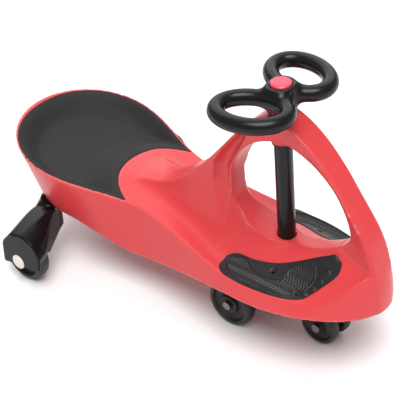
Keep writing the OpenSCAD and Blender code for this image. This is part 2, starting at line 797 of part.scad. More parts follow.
// front truck
main_r = main_d / 2;
guide_r = guide_d / 2;
main_x = axis_x - main_back;
guide_x = axis_x + guide_ahead;
guide_z = guide_r + guide_lift;
lug_h = 42;
main_in_y = lug_h + side_gap * 2;
main_mid_y = main_in_y + main_w / 2;
web_h = 5;
guide_in_y = web_h + side_gap;
guide_mid_y = guide_in_y + guide_w / 2;
plate_t = 10;
plate_z = main_d + side_gap;
beam_h = 27;
hub_boss_r = column_r + boss_wall + flange_t;
lug_r = bearing_r;
spacer_r = axle_r + flange_t;
module truck() {
    color([0.13, 0.13, 0.14]) {
        difference() {
            union() {
                translate([axis_x, 0, truck_low_z]) {
                    cylinder(r = hub_boss_r, h = truck_top_z - truck_low_z);
                }
                translate([0, 0, plate_z]) {
                    linear_extrude(plate_t) {
                        polygon([[main_x - lug_r, -lug_h], [main_x + lug_r, -lug_h],
                            [axis_x, -beam_h - flange_t],
                            [guide_x, -beam_h], [guide_x + lug_r, -beam_h / 2], [guide_x + lug_r, beam_h / 2],
                            [guide_x, beam_h], [axis_x, beam_h + flange_t], [main_x + lug_r, lug_h],
                            [main_x - lug_r, lug_h]]);
                    }
                }
                translate([main_x - lug_r, -lug_h, main_r]) {
                    cube([lug_r * 2, lug_h * 2, plate_z - main_r + over]);
                }
                translate([main_x, lug_h, main_r]) {
                    rotate([90, 0, 0]) {
                        cylinder(r = lug_r, h = lug_h * 2);
                    }
                }
                translate([main_x, main_in_y - side_gap / 2, main_r]) {
                    rotate([90, 0, 0]) {
                        cylinder(r = spacer_r, h = main_in_y * 2 - side_gap);
                    }
                }
                translate([guide_x - lug_r, -web_h, guide_z]) {
                    cube([lug_r * 2, web_h * 2, plate_z - guide_z + over]);
                }
                translate([guide_x, web_h, guide_z]) {
                    rotate([90, 0, 0]) {
                        cylinder(r = lug_r, h = web_h * 2);
                    }
                }
                translate([guide_x, guide_in_y - side_gap / 2, guide_z]) {
                    rotate([90, 0, 0]) {
                        cylinder(r = spacer_r, h = guide_in_y * 2 - side_gap);
                    }
                }
                translate([main_x, -web_h, plate_z - plate_t]) {
                    cube([guide_x - main_x, web_h * 2, plate_t + over]);
                }
            }
            translate([axis_x, 0, column_low_z]) {
                cylinder(r = column_r, h = column_sink + over);
            }
            translate([axis_x, 0, truck_low_z - over]) {
                cylinder(r = rod_r, h = truck_floor + over * 2);
            }
            translate([main_x, cheek_y, main_r]) {
                rotate([90, 0, 0]) {
                    cylinder(r = axle_r, h = cheek_y * 2);
                }
            }
            translate([guide_x, cheek_y, guide_z]) {
                rotate([90, 0, 0]) {
                    cylinder(r = axle_r, h = cheek_y * 2);
                }
            }
        }
    }
}

// an axle rod with a head at each end
head_lip = 3;
head_r = axle_r + head_lip;
head_t = 3.5;
module axle_rod(x, z, half) {
    color([0.66, 0.67, 0.69]) {
        translate([x, half, z]) {
            rotate([90, 0, 0]) {
                cylinder(r = axle_r, h = half * 2);
            }
        }
        for (s = [-1, 1]) {
            translate([x, s * (half + head_t / 2) + head_t / 2, z]) {
                rotate([90, 0, 0]) {
                    cylinder(r = head_r, h = head_t);
                }
            }
        }
    }
}
bearing_proud = 0.6;

module main_axle() {
    axle_rod(main_x, main_r, main_in_y + main_w + bearing_proud + face_gap);
}

module guide_axle() {
    axle_rod(guide_x, guide_z, guide_in_y + guide_w + bearing_proud + face_gap);
}

// a wheel with dished faces and a rounded tread, axis along the car's width
dish_share = 0.24;
rim_share = 0.78;
hub_share = 0.44;
shoulder_share = 0.22;
module wheel(x, y, z, r, w) {
    translate([x, y, z]) {
        rotate([90, 0, 0]) {
            rotate_extrude() {
                polygon([[bearing_r, -w / 2], [r * hub_share, -w / 2],
                    [r * hub_share + w * dish_share / 2, -w / 2 + w * dish_share],
                    [r * rim_share - w * dish_share / 2, -w / 2 + w * dish_share], [r * rim_share, -w / 2],
                    [r - w * shoulder_share, -w / 2],
                    [r - w * shoulder_share / 4, -w / 2 + w * shoulder_share],
                    [r, 0], [r - w * shoulder_share / 4, w / 2 - w * shoulder_share],
                    [r - w * shoulder_share, w / 2], [r * rim_share, w / 2],
                    [r * rim_share - w * dish_share / 2, w / 2 - w * dish_share],
                    [r * hub_share + w * dish_share / 2, w / 2 - w * dish_share], [r * hub_share, w / 2],
                    [bearing_r, w / 2]]);
            }
        }
    }
}

module bearing(x, y, z, w) {
    color([0.7, 0.71, 0.73]) {
        translate([x, y + w / 2 + bearing_proud, z]) {
            rotate([90, 0, 0]) {
                difference() {
                    cylinder(r = bearing_r, h = w + bearing_proud * 2);
                    translate([0, 0, -over]) {
                        cylinder(r = axle_r + run_gap, h = w + bearing_proud * 2 + over * 2);
                    }
                }
            }
        }
    }
}

module right_main_wheel() {
    color([0.11, 0.11, 0.12]) {
        wheel(main_x, -main_mid_y, main_r, main_r, main_w);
    }
}

module left_main_wheel() {
    color([0.11, 0.11, 0.12]) {
        wheel(main_x, main_mid_y, main_r, main_r, main_w);
    }
}

module right_main_bearing() {
    bearing(main_x, -main_mid_y, main_r, main_w);
}

module left_main_bearing() {
    bearing(main_x, main_mid_y, main_r, main_w);
}

module right_guide_wheel() {
    color([0.11, 0.11, 0.12]) {
        wheel(guide_x, -guide_mid_y, guide_z, guide_r, guide_w);
    }
}

module left_guide_wheel() {
    color([0.11, 0.11, 0.12]) {
        wheel(guide_x, guide_mid_y, guide_z, guide_r, guide_w);
    }
}

module right_guide_bearing() {
    bearing(guide_x, -guide_mid_y, guide_z, guide_w);
}

module left_guide_bearing() {
    bearing(guide_x, guide_mid_y, guide_z, guide_w);
}

// rear brackets, modelled on the left and mirrored for the right
module bracket() {
    color([0.09, 0.09, 0.1]) {
        difference() {
            union() {
                difference() {
                    hull() {
                        translate([hood_x, cheek_y, hood_z]) {
                            rotate([90, 0, 0]) {
                                cylinder(r = hood_r, h = cheek_t, $fn = 48);
                            }
                        }
                        translate([post_x, post_y, hood_front_z]) {
                            cylinder(r = post_r, h = edge_z - side_gap - hood_front_z, $fn = 40);
                        }
                    }
                    translate([hood_x, rear_out_y + side_gap, hood_z]) {
                        rotate([90, 0, 0]) {
                            cylinder(r = hood_r - hood_wall, h = rear_w + side_gap * 2);
                        }
                    }
                    translate([hood_x - hood_r * 2, inner_cheek_y, -hood_r]) {
                        cube([hood_r * 4, rear_w + side_gap * 2, hood_front_z + hood_r]);
                    }
                    translate([hood_x - hood_r * 2, -over, -hood_r]) {
                        cube([hood_r * 4, cheek_y * 2, hood_floor_z + hood_r]);
                    }
                    translate([hood_x - hood_r * (1 + cheek_back_share), -over, -hood_r]) {
                        cube([hood_r, cheek_y * 2, hood_r * 4]);
                    }
                    translate([hood_x + hood_r * cheek_lean_share, -over, hood_floor_z]) {
                        rotate([0, cheek_lean, 0]) {
                            cube([hood_r * 2, cheek_y * 2, hood_r]);
                        }
                    }
                    translate([hood_x - hood_r * 2, -over, -hood_r]) {
                        cube([hood_r * 4, inner_cheek_y + over * 2, hood_front_z + hood_r]);
                    }
                }
                translate([rear_x - stay_h, inner_cheek_y - stay_t, rear_r]) {
                    cube([stay_h * 2, stay_t, hood_front_z + stay_t - rear_r]);
                }
                translate([rear_x, inner_cheek_y, rear_r]) {
                    rotate([90, 0, 0]) {
                        cylinder(r = stay_h, h = stay_t);
                    }
                }
                translate([post_x, post_y, hood_front_z]) {
                    cylinder(r = post_r, h = post_top_z - hood_front_z);
                }
                translate([post_x, pin_y, post_top_z - over]) {
                    cylinder(r = spigot_r, h = spigot_h - over);
                }
            }
            translate([rear_x, cheek_y * 2, rear_r]) {
                rotate([90, 0, 0]) {
                    cylinder(r = axle_r, h = cheek_y * 2 - inner_cheek_y + stay_t + over);
                }
            }
            translate([post_x, pin_y, hood_front_z - over]) {
                cylinder(d = bracket_screw_d, h = post_top_z + spigot_h);
            }
        }
    }
}

module left_bracket() {
    bracket();
}

module right_bracket() {
    mirror([0, 1, 0]) {
        bracket();
    }
}

module bracket_screws() {
    color([0.6, 0.61, 0.63]) {
        for (s = [-1, 1]) {
            translate([post_x, s * pin_y, hood_front_z]) {
                cylinder(d = bracket_screw_d, h = post_top_z + spigot_h - over * 3 - hood_front_z);
                translate([0, 0, -bracket_screw_head_t]) {
                    cylinder(d = bracket_screw_head_d, h = bracket_screw_head_t);
                }
            }
        }
    }
}

rear_mid_y = rear_in_y + rear_w / 2;
module right_rear_wheel() {
    color([0.11, 0.11, 0.12]) {
        wheel(rear_x, -rear_mid_y, rear_r, rear_r, rear_w);
    }
}

module left_rear_wheel() {
    color([0.11, 0.11, 0.12]) {
        wheel(rear_x, rear_mid_y, rear_r, rear_r, rear_w);
    }
}

module right_rear_bearing() {
    bearing(rear_x, -rear_mid_y, rear_r, rear_w);
}

module left_rear_bearing() {
    bearing(rear_x, rear_mid_y, rear_r, rear_w);
}

module rear_axle() {
    color([0.66, 0.67, 0.69]) {
        translate([rear_x, cheek_y, rear_r]) {
            rotate([90, 0, 0]) {
                cylinder(r = axle_r, h = cheek_y - inner_cheek_y + stay_t);
            }
        }
    }
}

module left_rear_axle() {
    rear_axle();
}

module right_rear_axle() {
    mirror([0, 1, 0]) {
        rear_axle();
    }
}

axle_cap_r = 13;
axle_cap_t = 4;
// shares of the cap's radius and thickness at its shoulder, and of its radius at its flat top
axle_cap_shares = [0.8, 0.8, 0.4];
module axle_cap() {
    color([0.9, 0.89, 0.84]) {
        translate([rear_x, cheek_y, rear_r]) {
            rotate([-90, 0, 0]) {
                rotate_extrude() {
                    polygon([[0, 0], [axle_cap_r, 0], [axle_cap_r, axle_cap_t / 3],
                        [axle_cap_r * axle_cap_shares[0], axle_cap_t * axle_cap_shares[1]],
                        [axle_cap_r * axle_cap_shares[2], axle_cap_t], [0, axle_cap_t]]);
                }
            }
        }
    }
}

module left_axle_cap() {
    axle_cap();
}

module right_axle_cap() {
    mirror([0, 1, 0]) {
        axle_cap();
    }
}

body_shell();
seat_pad();
seat_pad_clips();
right_foot_pad();
left_foot_pad();
foot_pad_screws();
upper_bush();
lower_bush();
steering_wheel();
wheel_cap();
steering_column();
tie_rod();
tie_nut();
truck();
main_axle();
guide_axle();
right_main_wheel();
right_main_bearing();
left_main_wheel();
left_main_bearing();
right_guide_wheel();
right_guide_bearing();
left_guide_wheel();
left_guide_bearing();
right_bracket();
left_bracket();
bracket_screws();
right_rear_wheel();
right_rear_bearing();
left_rear_wheel();
left_rear_bearing();
right_rear_axle();
left_rear_axle();
right_axle_cap();
left_axle_cap();
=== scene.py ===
import json
import math

import bpy
import numpy as np
from mathutils import Matrix, Vector


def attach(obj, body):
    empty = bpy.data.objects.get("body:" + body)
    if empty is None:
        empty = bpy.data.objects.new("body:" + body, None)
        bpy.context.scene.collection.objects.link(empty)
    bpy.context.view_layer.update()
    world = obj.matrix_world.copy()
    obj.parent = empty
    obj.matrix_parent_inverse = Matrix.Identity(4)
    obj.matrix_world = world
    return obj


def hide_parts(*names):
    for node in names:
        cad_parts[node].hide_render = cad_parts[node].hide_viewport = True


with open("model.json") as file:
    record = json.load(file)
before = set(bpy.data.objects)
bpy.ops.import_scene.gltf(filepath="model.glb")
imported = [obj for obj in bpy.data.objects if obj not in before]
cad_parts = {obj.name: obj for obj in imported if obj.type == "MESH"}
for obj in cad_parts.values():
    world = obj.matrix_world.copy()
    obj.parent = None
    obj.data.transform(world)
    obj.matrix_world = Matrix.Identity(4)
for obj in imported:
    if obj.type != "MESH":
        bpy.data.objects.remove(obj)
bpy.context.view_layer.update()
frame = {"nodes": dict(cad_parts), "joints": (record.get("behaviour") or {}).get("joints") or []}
nodes = frame["nodes"]
mm = 0.001  # shapes are worked out in millimetres and put in the scene in metres
anchors = {joint["name"]: [1000.0 * c for c in joint["pos_m"]] for joint in frame["joints"]}
axisX = anchors["steering_turn"][0]  # the column stands here, on the middle plane
noCut = -9.0  # value of a cutting field where it leaves the shape alone


def lerp(a, b, t):
    return a + (b - a) * t


def ramp(v, a, b):  # 0 at a, 1 at b
    return (v - a) / (b - a)


def soft(t):
    c = np.clip(t, 0.0, 1.0)
    return c * c * (3.0 - 2.0 * c)


def wave(t):
    return (1.0 - np.cos(np.pi * np.clip(t, 0.0, 1.0))) / 2.0


def roundEnd(t, p):
    return np.maximum(0.0, 1.0 - np.minimum(1.0, np.abs(t)) ** p) ** (1.0 / p)


def roundedMax(a, b, r):  # both fields together, corner rounded over
    h = np.clip(0.5 + 0.5 * (a - b) / r, 0.0, 1.0)
    return lerp(b, a, h) + r * h * (1.0 - h)


def roundedMin(a, b, r):  # either field, inner corner filled
    return -roundedMax(-a, -b, r)


def ovalGap(along, across, long, wide, p):  # distance to a quarter of an oval, outside above 0
    u = np.maximum(along / long, 1e-4)  # kept off 0, where its slope is lost
    v = np.maximum(across / wide, 1e-4)
    return (u ** p + v ** p - 1.0) / (p * np.hypot(u ** (p - 1.0) / long, v ** (p - 1.0) / wide))


def wayDistance(u, v, way):  # distance to a line of points in a plane
    best = None
    for (a, b), (c, d) in zip(way[:-1], way[1:]):
        t = np.clip(((u - a) * (c - a) + (v - b) * (d - b)) / ((c - a) ** 2 + (d - b) ** 2), 0.0, 1.0)
        gap = np.hypot(u - a - t * (c - a), v - b - t * (d - b))
        best = gap if best is None else np.minimum(best, gap)
    return best


def insideWay(u, v, way):  # which places a closed line of points goes round
    inside = np.zeros(np.broadcast(u, v).shape, bool)
    for (a, b), (c, d) in zip(way[:-1], way[1:]):
        if b != d:
            inside ^= ((b > v) != (d > v)) & (u < a + (v - b) * (c - a) / (d - b))
    return inside


def rolledEdge(t):  # 1 at the very edge, 0 from t = 1 on, as a quarter circle falls
    return 1.0 - np.sqrt(1.0 - (1.0 - np.clip(t, 0.0, 1.0)) ** 2)


def putMesh(name, points, faces):
    mesh = bpy.data.meshes.new(name)
    mesh.from_pydata((np.asarray(points, float) * mm).tolist(), [], [list(f) for f in faces])
    mesh.validate()
    mesh.polygons.foreach_set("use_smooth", [True] * len(mesh.polygons))
    piece = bpy.data.objects.new(name, mesh)
    bpy.context.scene.collection.objects.link(piece)
    return piece


# one point in each cell that the surface crosses, joined by quads, then pulled onto the surface
def fieldMesh(name, field, low, high, steps, pulls=4):
    step = steps[0]
    axes = [np.arange(a, b + step, step) for a, b in zip(low, high)]
    sizes = tuple(len(a) for a in axes)
    f = np.broadcast_to(field(*np.meshgrid(*axes, indexing="ij", sparse=True)), sizes)
    cells = tuple(n - 1 for n in sizes)
    total = np.zeros(cells + (3,), np.float32)
    count = np.zeros(cells, np.float32)
    crossings = []
    for d in range(3):
        turn = (d, (d + 1) % 3, (d + 2) % 3)
        view = np.moveaxis(f, turn, (0, 1, 2))
        a, b = view[:-1], view[1:]
        cross = (a < 0) != (b < 0)
        share = np.where(cross, a / np.where(a == b, 1.0, a - b), 0.0)
        crossings.append((turn, cross, a < 0))
        sums = np.moveaxis(total, turn, (0, 1, 2))
        hits = np.moveaxis(count, turn, (0, 1, 2))
        m, n = view.shape[1] - 1, view.shape[2] - 1
        for i in (0, 1):
            for j in (0, 1):  # the four cells round each edge of the grid
                c = cross[:, i:m + i, j:n + j]
                sums[..., d] += np.where(c, share[:, i:m + i, j:n + j], 0.0)
                sums[..., turn[1]] += c * i
                sums[..., turn[2]] += c * j
                hits += c
    live = count > 0
    number = np.full(cells, -1, np.int64)
    number[live] = np.arange(int(live.sum()))
    points = np.argwhere(live) + total[live] / count[live][:, None]
    points = np.array(low, float) + points * step
    quads = []
    for turn, cross, inside in crossings:
        ids = np.moveaxis(number, turn, (0, 1, 2))
        i, j, k = np.nonzero(cross[:, 1:-1, 1:-1])
        quad = np.stack([ids[i, j, k], ids[i, j + 1, k], ids[i, j + 1, k + 1], ids[i, j, k + 1]], 1)
        flip = ~inside[i, j + 1, k + 1]
        quad[flip] = quad[flip][:, ::-1]
        quads.append(quad)
    quads = np.concatenate(quads)
    probe = step * 0.15
    offsets = np.eye(3) * probe
    farthest = step * 0.5  # a pull never leaves its cell
    for _ in range(pulls):
        slope = np.stack([field(*(points + e).T) - field(*(points - e).T) for e in offsets], 1) / (2 * probe)
        move = field(*points.T) / np.maximum((slope ** 2).sum(1), 0.05)  # no leaps where the field is flat
        points -= np.clip(move, -farthest, farthest)[:, None] * slope
    print("mesh", name, len(points), "points")
    return putMesh(name, points, quads.tolist())


# gives a piece its finish and the body it rides on, and hides the nodes it stands for
def fit(piece, body, slot, finish, *replaced):
    piece.data.materials.clear()
    piece.data.materials.append(finish)
    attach(piece, body)
    if replaced:
        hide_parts(*replaced)


def hexColour(code):
    parts = [int(code[i:i + 2], 16) / 255 for i in (1, 3, 5)]
    return tuple(c / 12.92 if c <= 0.04045 else ((c + 0.055) / 1.055) ** 2.4 for c in parts) + (1.0,)


def addNode(tree, kind, settings=None, links=None):
    node = tree.nodes.new(kind)
    for key, value in (settings or {}).items():
        if isinstance(key, str) and hasattr(node, key):
            setattr(node, key, value)
        else:
            node.inputs[key].default_value = value
    for key, source in (links or {}).items():
        tree.links.new(source, node.inputs[key])
    return node


# colour drifts slowly over a piece, gloss changes in patches and a fine grain breaks up the shine;
# real grain is a few tenths of a millimetre, so it is drawn several times coarser to show at all
def makeFinish(name, look):
    finish = bpy.data.materials.new(name)
    finish.use_nodes = True
    tree = finish.node_tree
    shader = tree.nodes["Principled BSDF"]
    place = addNode(tree, "ShaderNodeTexCoord").outputs["Object"]
    drift = addNode(tree, "ShaderNodeTexNoise",
        {"Scale": 1000 / look["driftMm"], "Detail": 3.0, "Roughness": 0.5}, {"Vector": place})
    colour = addNode(tree, "ShaderNodeMix",  # sockets 6 and 7 are the two colours, 2 is the mixed one
        {"data_type": "RGBA", 6: hexColour(look["colour"]), 7: hexColour(look["drift"])},
        {0: drift.outputs["Fac"]}).outputs[2]
    if "edge" in look:  # outer corners painted paler: a painted highlight along convex edges, standing in for the light a rounded edge catches
        shape = addNode(tree, "ShaderNodeNewGeometry")
        share = addNode(tree, "ShaderNodeMapRange",
            {"From Min": look["corner"][0], "From Max": look["corner"][1], "To Max": look["highlightShare"]},
            {"Value": shape.outputs["Pointiness"]})
        colour = addNode(tree, "ShaderNodeMix", {"data_type": "RGBA", 7: hexColour(look["edge"])},
            {0: share.outputs["Result"], 6: colour}).outputs[2]
    patch = addNode(tree, "ShaderNodeTexNoise",
        {"Scale": 1000 / look["patchMm"], "Detail": 2.0}, {"Vector": place})
    gloss = addNode(tree, "ShaderNodeMapRange",
        {"To Min": look["rough"][0], "To Max": look["rough"][1]}, {"Value": patch.outputs["Fac"]})
    grain = addNode(tree, "ShaderNodeTexNoise",
        {"Scale": 1000 / look["grainMm"], "Detail": 2.0}, {"Vector": place})
    bump = addNode(tree, "ShaderNodeBump",
        {"Strength": look["grain"], "Distance": look["grainMm"] * mm * 0.3}, {"Height": grain.outputs["Fac"]})
    if "ior" in look:  # a metal keeps the shader's own
        shader.inputs["IOR"].default_value = look["ior"]
    shader.inputs["Metallic"].default_value = look.get("metal", 0.0)
    shader.inputs["Specular IOR Level"].default_value = look.get("specular", 0.5)
    tree.links.new(colour, shader.inputs["Base Color"])
    tree.links.new(gloss.outputs["Result"], shader.inputs["Roughness"])
    tree.links.new(bump.outputs["Normal"], shader.inputs["Normal"])
    return finish


# injection-moulded polypropylene: even coral red, soft broad gloss, faint flow marks, with a painted
# highlight on its outer corners
redPolypropylene = makeFinish("redPolypropylene", {"colour": "#D94346", "drift": "#D33E42", "driftMm": 90,
    "edge": "#F28A88", "corner": (0.516, 0.585), "highlightShare": 0.36,
    "patchMm": 60, "rough": (0.27, 0.35), "grainMm": 1.6, "grain": 0.05, "ior": 1.49, "specular": 0.34})
# moulded EVA foam: dead matt charcoal with a close leathery grain, drawn coarser than its 0.5 mm
charcoalFoam = makeFinish("charcoalFoam", {"colour": "#282627", "drift": "#232122", "driftMm": 70,
    "patchMm": 30, "rough": (0.62, 0.74), "grainMm": 2.0, "grain": 0.22, "ior": 1.45, "specular": 0.35})
# moulded ABS: satin black that takes soft wide highlights
blackAbs = makeFinish("blackAbs", {"colour": "#151415", "drift": "#121112", "driftMm": 60,
    "patchMm": 40, "rough": (0.2, 0.28), "grainMm": 1.4, "grain": 0.05, "ior": 1.53, "specular": 0.24})
# moulded polypropylene: deep black, glossy
blackPolypropylene = makeFinish("blackPolypropylene", {"colour": "#121112", "drift": "#0F0E0F", "driftMm": 60,
    "patchMm": 40, "rough": (0.2, 0.28), "grainMm": 1.4, "grain": 0.05, "ior": 1.49, "specular": 0.15})
# moulded vinyl tread: dull black, so its ribs read as a quiet pattern
blackVinyl = makeFinish("blackVinyl", {"colour": "#1B191A", "drift": "#171617", "driftMm": 40,
    "patchMm": 25, "rough": (0.4, 0.5), "grainMm": 1.4, "grain": 0.08, "ior": 1.53, "specular": 0.4})
# moulded polyurethane tyre: duller black with a dry bloom
blackPolyurethane = makeFinish("blackPolyurethane", {"colour": "#232223", "drift": "#1B1B1C", "driftMm": 30,
    "patchMm": 20, "rough": (0.45, 0.6), "grainMm": 1.2, "grain": 0.12, "ior": 1.5})
# glossy moulded ABS in pink red
pinkAbs = makeFinish("pinkAbs", {"colour": "#E2475E", "drift": "#DC4159", "driftMm": 12,
    "patchMm": 9, "rough": (0.25, 0.34), "grainMm": 0.9, "grain": 0.04, "ior": 1.53})
# moulded nylon, off white, waxy
creamNylon = makeFinish("creamNylon", {"colour": "#E4E0D4", "drift": "#DAD5C8", "driftMm": 10,
    "patchMm": 8, "rough": (0.4, 0.5), "grainMm": 0.9, "grain": 0.06, "ior": 1.53})
# zinc-plated steel: bright grey, turned and slightly scuffed
platedSteel = makeFinish("platedSteel", {"colour": "#B9BABD", "drift": "#A3A5A8", "driftMm": 6,
    "patchMm": 4, "rough": (0.25, 0.42), "grainMm": 0.7, "grain": 0.08, "metal": 1.0})
# zinc-plated steel gone dull: mid grey, no bright spots
dullSteel = makeFinish("dullSteel", {"colour": "#8A8680", "drift": "#7B7772", "driftMm": 6,
    "patchMm": 4, "rough": (0.4, 0.55), "grainMm": 0.7, "grain": 0.08, "metal": 1.0})
# oil-blackened steel: dark grey with a dim metal shine
blackenedSteel = makeFinish("blackenedSteel", {"colour": "#3A3836", "drift": "#2E2C2B", "driftMm": 6,
    "patchMm": 4, "rough": (0.35, 0.5), "grainMm": 0.7, "grain": 0.08, "metal": 1.0})
# seamless white paper: flat and matt, no grain to see
whitePaper = makeFinish("whitePaper", {"colour": "#F7F7F7", "drift": "#F5F5F5", "driftMm": 800,
    "patchMm": 400, "rough": (0.85, 0.95), "grainMm": 8.0, "grain": 0.0, "ior": 1.45, "specular": 0.1})
print("finishes ready")

# red body: its upper and lower edges seen from above, their heights, the seat, the saddle and the thickness
shell = {
    "rim": {"tailX": -362.0, "seatX": -231.7, "noseX": 358.0,
        "seatHalf": 124.0, "waistHalf": 80.0, "deckHalf": 101.0, "power": 1.85},
    "base": {"tailX": -337.4, "seatX": -213.6, "noseX": 362.0,
        "seatHalf": 102.9, "waistHalf": 86.4, "deckHalf": 108.1, "power": 2.0},
    "waistX": -39.8, "deckX": 165.1, "endShare": 1.006,  # narrowest and widest place of both edges
    "tailZ": 216.0, "tipX": -76.0, "tipZ": 172.0, "deckZ": 131.0,  # rim falls along the seat to the deck
    "prowX": 265.0, "prowRise": 60.1, "prowPower": 1.6,  # and climbs again to the front leg
    "edgeZ": 103.0, "bellyX": -72.4, "bellyDrop": 30.9, "noseLift": 7.2, "tailLift": 20.0,  # lower edge
    "tongueX": -143.4, "dish": 22.0, "dishRun": 36.0, "tongueRun": 75.0,  # seat's hollow and front edge
    "hillZ": 232.2, "fallX": 285.6, "saddleSharp": 4.0,  # ridge of the saddle and of the deck
    "firmShare": 0.4, "firmX": (230.0, 290.0),  # firm rim round the nose
    "wall": 4.0, "roof": 10.0, "bulge": 3.0, "rimRound": 3.5, "edgeRound": 2.5, "hollowRound": 2.0,
    "bossR": 23.0, "bossZ": (107.0, 164.0),  # boss that holds the lower bush
    "low": (-368, -130, 66), "high": (368, 130, 400), "steps": (2.6, 3.4)}
seatSlope = (shell["tailZ"] - shell["tipZ"]) / (shell["tipX"] - shell["rim"]["tailX"])


def planHalf(x, plan):  # half width of the rim or of the lower edge
    waistX, deckX, endShare = shell["waistX"], shell["deckX"], shell["endShare"]
    tail = plan["seatHalf"] * roundEnd(ramp(x, plan["seatX"], plan["tailX"]) / endShare, 2.0)
    seat = lerp(plan["seatHalf"], plan["waistHalf"], wave(ramp(x, plan["seatX"], waistX)))
    deck = lerp(plan["waistHalf"], plan["deckHalf"], wave(ramp(x, waistX, deckX)))
    nose = plan["deckHalf"] * roundEnd(ramp(x, deckX, plan["noseX"]) / endShare, plan["power"])
    return np.where(x < plan["seatX"], tail, np.where(x < waistX, seat, np.where(x < deckX, deck, nose)))


def rimHeight(x):
    s = shell
    run = s["deckX"] - s["tipX"]
    t = np.clip((x - s["tipX"]) / run, 0.0, 1.0)
    u = 1.0 - t
    # leaves the seat at the seat's own slope and comes level on the deck
    fall = s["tipZ"] * u * u * (1 + 2 * t) - seatSlope * run * t * u * u + s["deckZ"] * t * t * (3 - 2 * t)
    prow = s["prowRise"] * np.clip(ramp(x, s["prowX"], s["rim"]["noseX"]), 0.0, 1.0) ** s["prowPower"]
    return np.where(x < s["tipX"], s["tipZ"] + seatSlope * (s["tipX"] - x), fall) + prow


def edgeHeight(x):
    s, base = shell, shell["base"]
    belly = wave(ramp(x, base["seatX"], s["bellyX"])) * wave(ramp(x, s["deckX"], s["bellyX"]))
    nose = wave(ramp(x, s["deckX"], base["noseX"]))
    tail = wave(ramp(x, base["seatX"], base["tailX"]))
    return s["edgeZ"] - s["bellyDrop"] * belly + s["noseLift"] * nose + s["tailLift"] * tail


def tongueEdge(v):  # front edge of the seat, v being the share of the half width
    return shell["tongueX"] + (shell["tipX"] - shell["tongueX"]) * v * v


def padInset(x, ay):  # how far a place is inside the seat's rim and behind its front edge
    rim = shell["rim"]
    w = np.maximum(1.0, planHalf(x, rim))
    v = np.minimum(1.0, ay / w)
    q = np.hypot((x - rim["seatX"]) / (rim["seatX"] - rim["tailX"]), ay / rim["seatHalf"])
    q = np.where(x < rim["seatX"], q, v)
    return (1.0 - q) * np.minimum(w, rim["seatHalf"]), tongueEdge(v) - x


# arch over the column, seen from the side, with its half widths
arch = {
    "topZ": 395.0, "crestPower": 1.55,  # crest of the rear leg
    "tailDip": 6.0, "tailRun": 70.0, "tailX": -95.0, "tailRound": 20.0,  # its sinking end in the saddle
    "reach": 183.0, "chinZ": 143.3, "power": 1.565, "shinPower": 1.97, "shinShare": 0.66,  # front leg
    "windowX": 196.8, "windowHalf": 111.0, "windowTop": 353.0, "windowMid": 228.0, "windowLow": 167.9,
    "upperPowers": (2.0, 1.7), "lowerPowers": (2.2, 1.5),  # rear and front of the window
    "crownHalf": 22.5, "crownRun": 25.0, "footHalf": 25.0, "footZ": (395.0, 245.0),  # crown and rear leg
    "faceHalf": 17.5, "creaseHalf": 21.5, "innerHalf": 14.5, "legZ": (387.0, 292.0),  # front leg's section
    "creaseShare": (0.34, 0.18), "creaseZ": (285.0, 235.0), "creaseRound": 2.0, "flankShare": 0.85,
    "outerRound": 3.0, "innerRound": 4.0, "fillets": (18.0, 5.0), "filletX": (150.0, 230.0),
    "footIn": 45.0, "footInZ": (172.0, 217.0),  # front foot ends in the bumper
    "flatZ": 392.0, "flatR": 50.0, "boreR": 17.0, "closeR": 14.6, "boreZ": 300.0,  # crown and bores
    "grooveDepth": 11.0, "grooveHalf": (8.0, 23.0), "grooveZ": (335.0, 215.0),  # valley down the rear leg
    "groove": ((118, 342), (103, 319), (88, 296), (75, 268), (76, 240), (83, 215), (91, 190), (101, 165))}


def crestHeight(x):
    low = shell["tipZ"] + seatSlope * (shell["tipX"] - shell["tongueX"])
    t = np.clip(ramp(x, shell["tongueX"], axisX), 0.0, 1.0)
    return low + (arch["topZ"] - low) * soft(t ** arch["crestPower"])


def windowFloor(x):
    a = arch
    t = (x - a["windowX"]) / a["windowHalf"]
    drop = np.where(t < 0, roundEnd(t, a["lowerPowers"][0]), roundEnd(t, a["lowerPowers"][1]))
    return a["windowMid"] - (a["windowMid"] - a["windowLow"]) * drop


def ridgeHeight(x):  # the body's top on its middle plane, without the arch
    s, noseX = shell, shell["rim"]["noseX"]
    floor = windowFloor(np.maximum(x, arch["windowX"] - arch["windowHalf"]))
    hill = np.minimum(crestHeight(x), np.minimum(s["hillZ"], floor))
    fall = lerp(windowFloor(s["fallX"]), rimHeight(noseX), soft(ramp(x, s["fallX"], noseX)))
    return np.where(x < s["tongueX"], rimHeight(x), np.where(x < s["fallX"], hill, fall))


def topHeight(x, ay):  # the body's top, level with the top of the seat pad
    s = shell
    side, end = padInset(x, ay)
    dish = s["dish"] * soft(np.minimum(side / s["dishRun"], end / s["tongueRun"]))
    sharp = lerp(1.0, s["saddleSharp"], soft(ramp(x, s["tongueX"], s["waistX"])))
    sharp = lerp(sharp, 1.0, soft(ramp(x, s["waistX"], axisX)))
    v = np.minimum(1.0, ay / np.maximum(1.0, planHalf(x, s["rim"])))
    hump = np.cos(np.pi / 2 * v) ** (2.0 * sharp)
    hump = lerp(hump, 1.0 - v, soft(ramp(v, s["firmShare"], 1.0)) * soft(ramp(x, *s["firmX"])))
    return rimHeight(x) - dish + (ridgeHeight(x) - rimHeight(x)) * hump


seatPad = {"lip": 2.2, "sink": 5.0, "sinkRun": 3.0, "edge": 2.5, "roll": 1.8, "rows": 84, "columns": 72,
    "skirt": 4.5}


def bodyTop(x, ay):  # the same, sunk under the seat pad
    side, end = padInset(x, ay)
    inside = np.minimum(side - seatPad["lip"], end)
    return topHeight(x, ay) - seatPad["sink"] * soft(inside / seatPad["sinkRun"])


